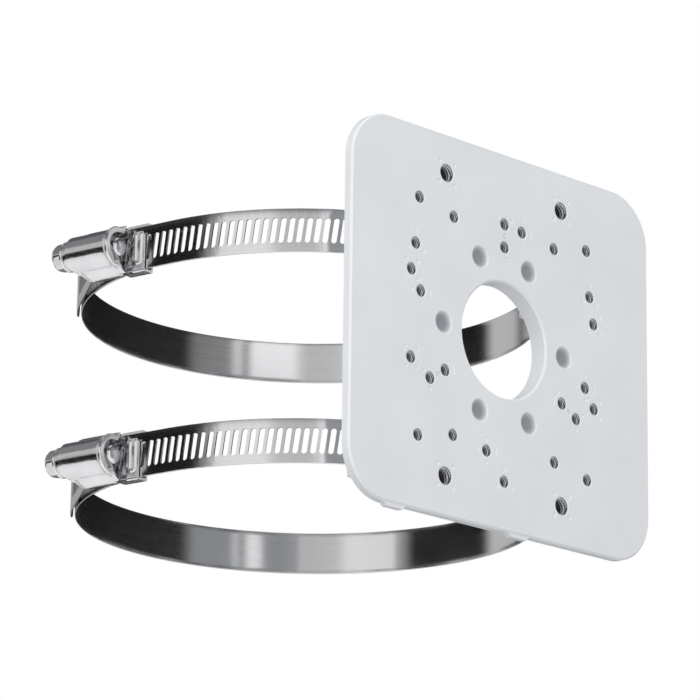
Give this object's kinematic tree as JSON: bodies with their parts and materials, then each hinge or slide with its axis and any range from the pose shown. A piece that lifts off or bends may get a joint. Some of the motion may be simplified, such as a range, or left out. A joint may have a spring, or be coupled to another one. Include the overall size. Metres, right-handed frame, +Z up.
{
  "type": "camera pole mount bracket",
  "caption": "Square cast adapter plate with a cable hole and tapped screw patterns, strapped to a pole by worm-drive band clamps through its slotted rear ears.",
  "frame": {"origin": "centre of the cable hole, in the plate's front face", "axes": "+Z up along the pole, -Y out of the plate's front face, +X to the right seen from the front"},
  "size_m": [0.1639, 0.1615, 0.1221],
  "materials": {
    "plate_paint": "white satin paint with a fine orange peel, over a die casting",
    "band_steel": "bright rolled stainless strip",
    "housing_steel": "pressed stainless sheet",
    "screw_steel": "turned and rolled steel"
  },
  "bodies": {
    "plate": {"mounting_plate": "plate_paint"},
    "upper_clamp": {"upper_band": "band_steel", "upper_saddle": "housing_steel", "upper_housing": "housing_steel"},
    "upper_worm": {"upper_screw": "screw_steel"},
    "lower_clamp": {"lower_band": "band_steel", "lower_saddle": "housing_steel", "lower_housing": "housing_steel"},
    "lower_worm": {"lower_screw": "screw_steel"}
  },
  "joints": [
    {"name": "upper_ring_turn", "type": "hinge", "parent": "plate", "child": "upper_clamp", "pos_m": [0, 0.0872, 0.0311], "axis": [0, 0, 1], "range_deg": [-188, 50]},
    {"name": "upper_screw_turn", "type": "hinge", "parent": "upper_clamp", "child": "upper_worm", "pos_m": [-0.0781, 0.07343, 0.0311], "axis": [-0.1736, 0.9848, 0], "continuous": true},
    {"name": "lower_ring_turn", "type": "hinge", "parent": "plate", "child": "lower_clamp", "pos_m": [0, 0.0872, -0.0359], "axis": [0, 0, 1], "range_deg": [-188, 50]},
    {"name": "lower_screw_turn", "type": "hinge", "parent": "lower_clamp", "child": "lower_worm", "pos_m": [-0.0781, 0.07343, -0.0359], "axis": [-0.1736, 0.9848, 0], "continuous": true}
  ]
}
